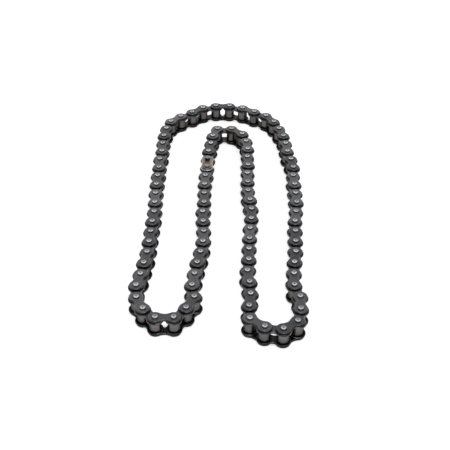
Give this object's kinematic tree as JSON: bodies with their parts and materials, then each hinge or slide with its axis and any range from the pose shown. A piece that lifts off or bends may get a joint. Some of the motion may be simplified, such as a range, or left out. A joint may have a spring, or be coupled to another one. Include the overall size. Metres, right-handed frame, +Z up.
{
  "type": "roller chain",
  "caption": "Motorcycle roller chain joined into one loop and laid on its side in a horseshoe, with riveted links, turning rollers and a connecting link held by a spring clip.",
  "frame": {"origin": "centre of the outline in plan, at the height of the lower pin ends", "axes": "+Y from the two lower bends towards the arch, +Z up along the pins"},
  "size_m": [0.1328, 0.3118, 0.0165],
  "materials": {
    "outer_link_steel": "satin",
    "inner_link_steel": "satin",
    "roller_steel": "satin",
    "cover_plate_steel": "satin",
    "clip_steel": "satin"
  },
  "bodies": {
    "arch": {"arch_outer_links": "outer_link_steel", "arch_inner_links": "inner_link_steel", "arch_rollers": "roller_steel"},
    "outer_left_top": {"outer_left_top_outer_links": "outer_link_steel", "outer_left_top_inner_links": "inner_link_steel", "outer_left_top_rollers": "roller_steel"},
    "outer_left_mid": {"outer_left_mid_outer_links": "outer_link_steel", "outer_left_mid_inner_links": "inner_link_steel", "outer_left_mid_rollers": "roller_steel"},
    "outer_left_low": {"outer_left_low_outer_links": "outer_link_steel", "outer_left_low_inner_links": "inner_link_steel", "outer_left_low_rollers": "roller_steel"},
    "left_bend": {"left_bend_outer_links": "outer_link_steel", "left_bend_inner_links": "inner_link_steel", "left_bend_rollers": "roller_steel"},
    "inner_left_low": {"inner_left_low_outer_links": "outer_link_steel", "inner_left_low_inner_links": "inner_link_steel", "inner_left_low_rollers": "roller_steel"},
    "inner_left_mid": {"inner_left_mid_outer_links": "outer_link_steel", "inner_left_mid_inner_links": "inner_link_steel", "inner_left_mid_rollers": "roller_steel"},
    "inner_left_top": {"inner_left_top_outer_links": "outer_link_steel", "inner_left_top_inner_links": "inner_link_steel", "inner_left_top_rollers": "roller_steel"},
    "outer_right_top": {"outer_right_top_outer_links": "outer_link_steel", "outer_right_top_inner_links": "inner_link_steel", "outer_right_top_rollers": "roller_steel"},
    "outer_right_mid": {"outer_right_mid_outer_links": "outer_link_steel", "outer_right_mid_inner_links": "inner_link_steel", "outer_right_mid_rollers": "roller_steel"},
    "outer_right_low": {"outer_right_low_outer_links": "outer_link_steel", "outer_right_low_inner_links": "inner_link_steel", "outer_right_low_rollers": "roller_steel"},
    "right_bend": {"right_bend_outer_links": "outer_link_steel", "right_bend_inner_links": "inner_link_steel", "right_bend_rollers": "roller_steel"},
    "inner_right_low": {"inner_right_low_outer_links": "outer_link_steel", "inner_right_low_inner_links": "inner_link_steel", "inner_right_low_rollers": "roller_steel"},
    "inner_right_mid": {"inner_right_mid_outer_links": "outer_link_steel", "inner_right_mid_inner_links": "inner_link_steel", "inner_right_mid_rollers": "roller_steel"},
    "inner_right_top": {"inner_right_top_outer_links": "outer_link_steel", "inner_right_top_inner_links": "inner_link_steel", "inner_right_top_rollers": "roller_steel"},
    "inner_turn": {"inner_turn_outer_links": "outer_link_steel", "inner_turn_inner_links": "inner_link_steel", "inner_turn_rollers": "roller_steel", "connecting_pin_plate": "outer_link_steel", "connecting_cover_plate": "cover_plate_steel"},
    "connecting_roller": {"connecting_roller": "roller_steel"},
    "left_bend_roller_a": {"left_bend_roller_a": "roller_steel"},
    "left_bend_roller_b": {"left_bend_roller_b": "roller_steel"},
    "arch_roller_a": {"arch_roller_a": "roller_steel"},
    "arch_roller_b": {"arch_roller_b": "roller_steel"},
    "right_bend_roller_a": {"right_bend_roller_a": "roller_steel"},
    "right_bend_roller_b": {"right_bend_roller_b": "roller_steel"},
    "inner_turn_roller": {"inner_turn_roller": "roller_steel"},
    "clip": {"spring_clip": "clip_steel"}
  },
  "joints": [
    {"name": "left_upper_pivot_a", "type": "hinge", "parent": "arch", "child": "outer_left_top", "pos_m": [-0.05168, 0.08368, 0], "axis": [0, 0, 1], "range_deg": [-30, 7]},
    {"name": "left_upper_pivot_b", "type": "hinge", "parent": "outer_left_top", "child": "outer_left_mid", "pos_m": [-0.05323, 0.03293, 0], "axis": [0, 0, 1], "range_deg": [-7, 30]},
    {"name": "left_upper_pivot_c", "type": "hinge", "parent": "inner_left_mid", "child": "inner_left_top", "pos_m": [-0.01398, -0.00464, 0], "axis": [0, 0, 1], "range_deg": [-30, 7]},
    {"name": "left_lower_pivot_a", "type": "hinge", "parent": "outer_left_mid", "child": "outer_left_low", "pos_m": [-0.05523, -0.06861, 0], "axis": [0, 0, 1], "range_deg": [-40, 9]},
    {"name": "left_lower_pivot_b", "type": "hinge", "parent": "outer_left_low", "child": "left_bend", "pos_m": [-0.06053, -0.10633, 0], "axis": [0, 0, 1], "range_deg": [-9, 40]},
    {"name": "left_lower_pivot_c", "type": "hinge", "parent": "left_bend", "child": "inner_left_low", "pos_m": [-0.01928, -0.09308, 0], "axis": [0, 0, 1], "range_deg": [-40, 9]},
    {"name": "left_lower_pivot_d", "type": "hinge", "parent": "inner_left_low", "child": "inner_left_mid", "pos_m": [-0.01398, -0.05537, 0], "axis": [0, 0, 1], "range_deg": [-9, 40]},
    {"name": "right_upper_pivot_a", "type": "hinge", "parent": "arch", "child": "outer_right_top", "pos_m": [0.06053, 0.04696, 0], "axis": [0, 0, 1], "range_deg": [-7, 30]},
    {"name": "right_upper_pivot_b", "type": "hinge", "parent": "outer_right_top", "child": "outer_right_mid", "pos_m": [0.06009, -0.0038, 0], "axis": [0, 0, 1], "range_deg": [-30, 7]},
    {"name": "right_upper_pivot_c", "type": "hinge", "parent": "inner_right_mid", "child": "inner_right_top", "pos_m": [0.02154, 0.01195, 0], "axis": [0, 0, 1], "range_deg": [-7, 30]},
    {"name": "right_upper_pivot_d", "type": "hinge", "parent": "inner_right_top", "child": "inner_turn", "pos_m": [0.02199, 0.06271, 0], "axis": [0, 0, 1], "range_deg": [-30, 7]},
    {"name": "right_lower_pivot_a", "type": "hinge", "parent": "outer_right_mid", "child": "outer_right_low", "pos_m": [0.05721, -0.02903, 0], "axis": [0, 0, 1], "range_deg": [-9, 40]},
    {"name": "right_lower_pivot_b", "type": "hinge", "parent": "outer_right_low", "child": "right_bend", "pos_m": [0.05544, -0.06709, 0], "axis": [0, 0, 1], "range_deg": [-40, 9]},
    {"name": "right_lower_pivot_c", "type": "hinge", "parent": "right_bend", "child": "inner_right_low", "pos_m": [0.02021, -0.07673, 0], "axis": [0, 0, 1], "range_deg": [-9, 40]},
    {"name": "right_lower_pivot_d", "type": "hinge", "parent": "inner_right_low", "child": "inner_right_mid", "pos_m": [0.02199, -0.03867, 0], "axis": [0, 0, 1], "range_deg": [-40, 9]},
    {"name": "connecting_roller_spin", "type": "hinge", "parent": "inner_turn", "child": "connecting_roller", "pos_m": [-0.01199, 0.0588, 0], "axis": [0, 0, 1], "continuous": true},
    {"name": "left_bend_roller_a_spin", "type": "hinge", "parent": "left_bend", "child": "left_bend_roller_a", "pos_m": [-0.03237, -0.13947, 0], "axis": [0, 0, 1], "continuous": true},
    {"name": "left_bend_roller_b_spin", "type": "hinge", "parent": "left_bend", "child": "left_bend_roller_b", "pos_m": [-0.04507, -0.13947, 0], "axis": [0, 0, 1], "continuous": true},
    {"name": "arch_roller_a_spin", "type": "hinge", "parent": "arch", "child": "arch_roller_a", "pos_m": [-0.00551, 0.14999, 0], "axis": [0, 0, 1], "continuous": true},
    {"name": "arch_roller_b_spin", "type": "hinge", "parent": "arch", "child": "arch_roller_b", "pos_m": [0.00719, 0.14999, 0], "axis": [0, 0, 1], "continuous": true},
    {"name": "right_bend_roller_a_spin", "type": "hinge", "parent": "right_bend", "child": "right_bend_roller_a", "pos_m": [0.04196, -0.14999, 0], "axis": [0, 0, 1], "continuous": true},
    {"name": "right_bend_roller_b_spin", "type": "hinge", "parent": "right_bend", "child": "right_bend_roller_b", "pos_m": [0.02942, -0.148, 0], "axis": [0, 0, 1], "continuous": true},
    {"name": "inner_turn_roller_spin", "type": "hinge", "parent": "inner_turn", "child": "inner_turn_roller", "pos_m": [0.00883, 0.10882, 0], "axis": [0, 0, 1], "continuous": true},
    {"name": "clip_slide", "type": "slide", "parent": "inner_turn", "child": "clip", "axis": [-0.0349, -0.9994, 0], "range_m": [0, 0.0055]}
  ],
  "couplings": [
    {"joint": "left_upper_pivot_b", "follows": "left_upper_pivot_a", "ratio": -1},
    {"joint": "left_upper_pivot_c", "follows": "left_upper_pivot_a", "ratio": 1},
    {"joint": "left_lower_pivot_b", "follows": "left_lower_pivot_a", "ratio": -1},
    {"joint": "left_lower_pivot_c", "follows": "left_lower_pivot_a", "ratio": 1},
    {"joint": "left_lower_pivot_d", "follows": "left_lower_pivot_a", "ratio": -1},
    {"joint": "right_upper_pivot_b", "follows": "right_upper_pivot_a", "ratio": -1},
    {"joint": "right_upper_pivot_c", "follows": "right_upper_pivot_a", "ratio": 1},
    {"joint": "right_upper_pivot_d", "follows": "right_upper_pivot_a", "ratio": -1},
    {"joint": "right_lower_pivot_b", "follows": "right_lower_pivot_a", "ratio": -1},
    {"joint": "right_lower_pivot_c", "follows": "right_lower_pivot_a", "ratio": 1},
    {"joint": "right_lower_pivot_d", "follows": "right_lower_pivot_a", "ratio": -1}
  ]
}
